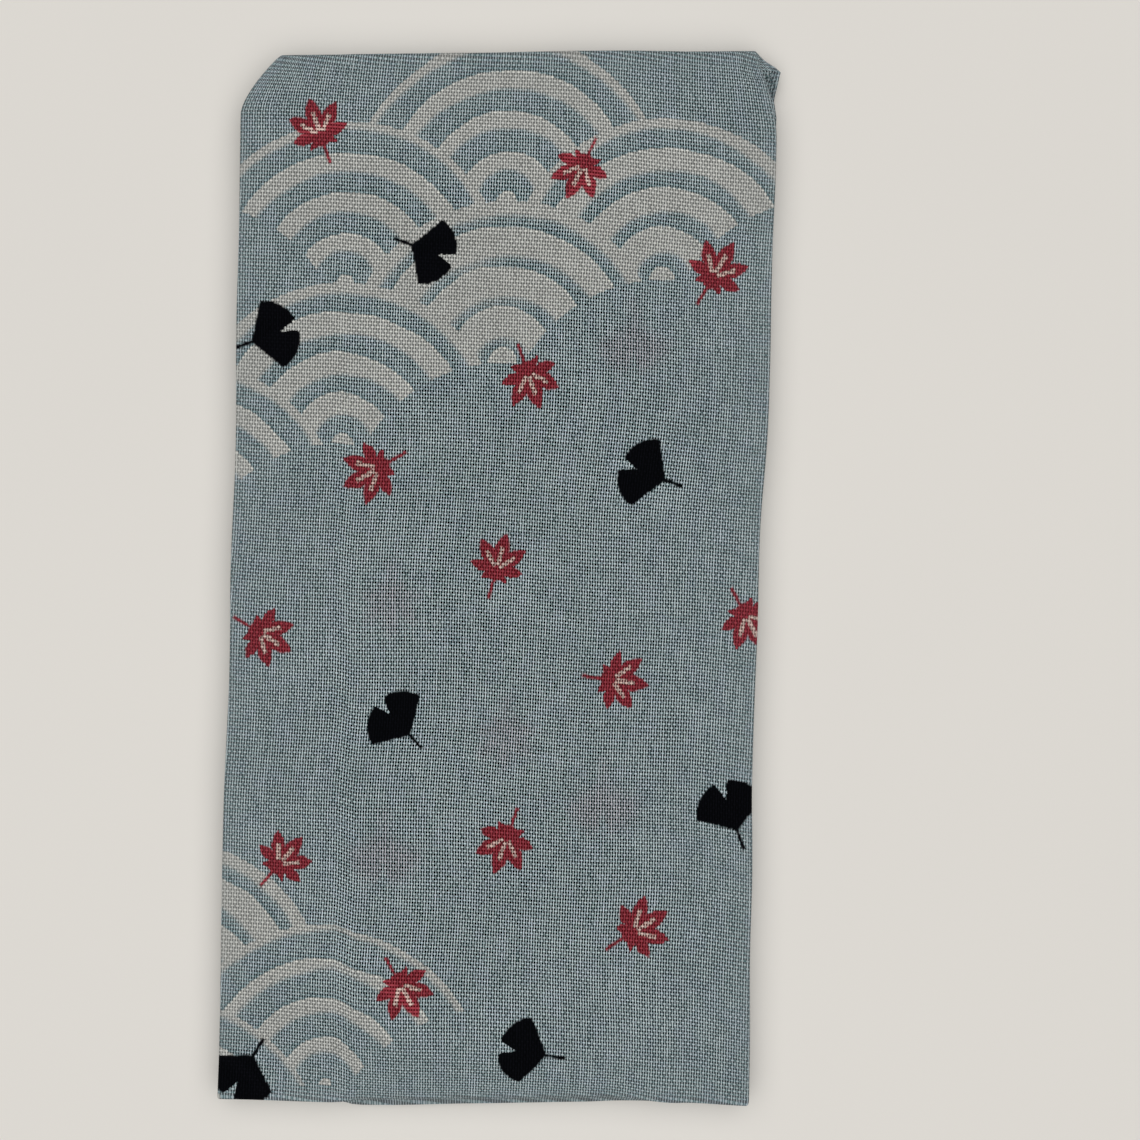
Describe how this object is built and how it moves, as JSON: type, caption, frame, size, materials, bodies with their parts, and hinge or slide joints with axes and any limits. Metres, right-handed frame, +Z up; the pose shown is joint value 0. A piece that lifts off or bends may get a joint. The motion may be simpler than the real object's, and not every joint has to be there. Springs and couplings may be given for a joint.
{
  "type": "tenugui towel",
  "caption": "Long plain-weave cotton towel folded into a flat oblong packet, for drying, wiping or wrapping.",
  "frame": {"origin": "middle of the underside, at the centre of the packet's bounding box", "axes": "+Y along the packet, towards the end where the strip doubles back twice; +Z up through the stack of leaves, out of the face that shows; +X to the right of that face"},
  "size_m": [0.122, 0.2284, 0.0061],
  "materials": {
    "cloth": "matt plain-weave cotton, dyed blue-grey"
  },
  "bodies": {
    "root": {"cloth": "cloth"}
  },
  "joints": []
}
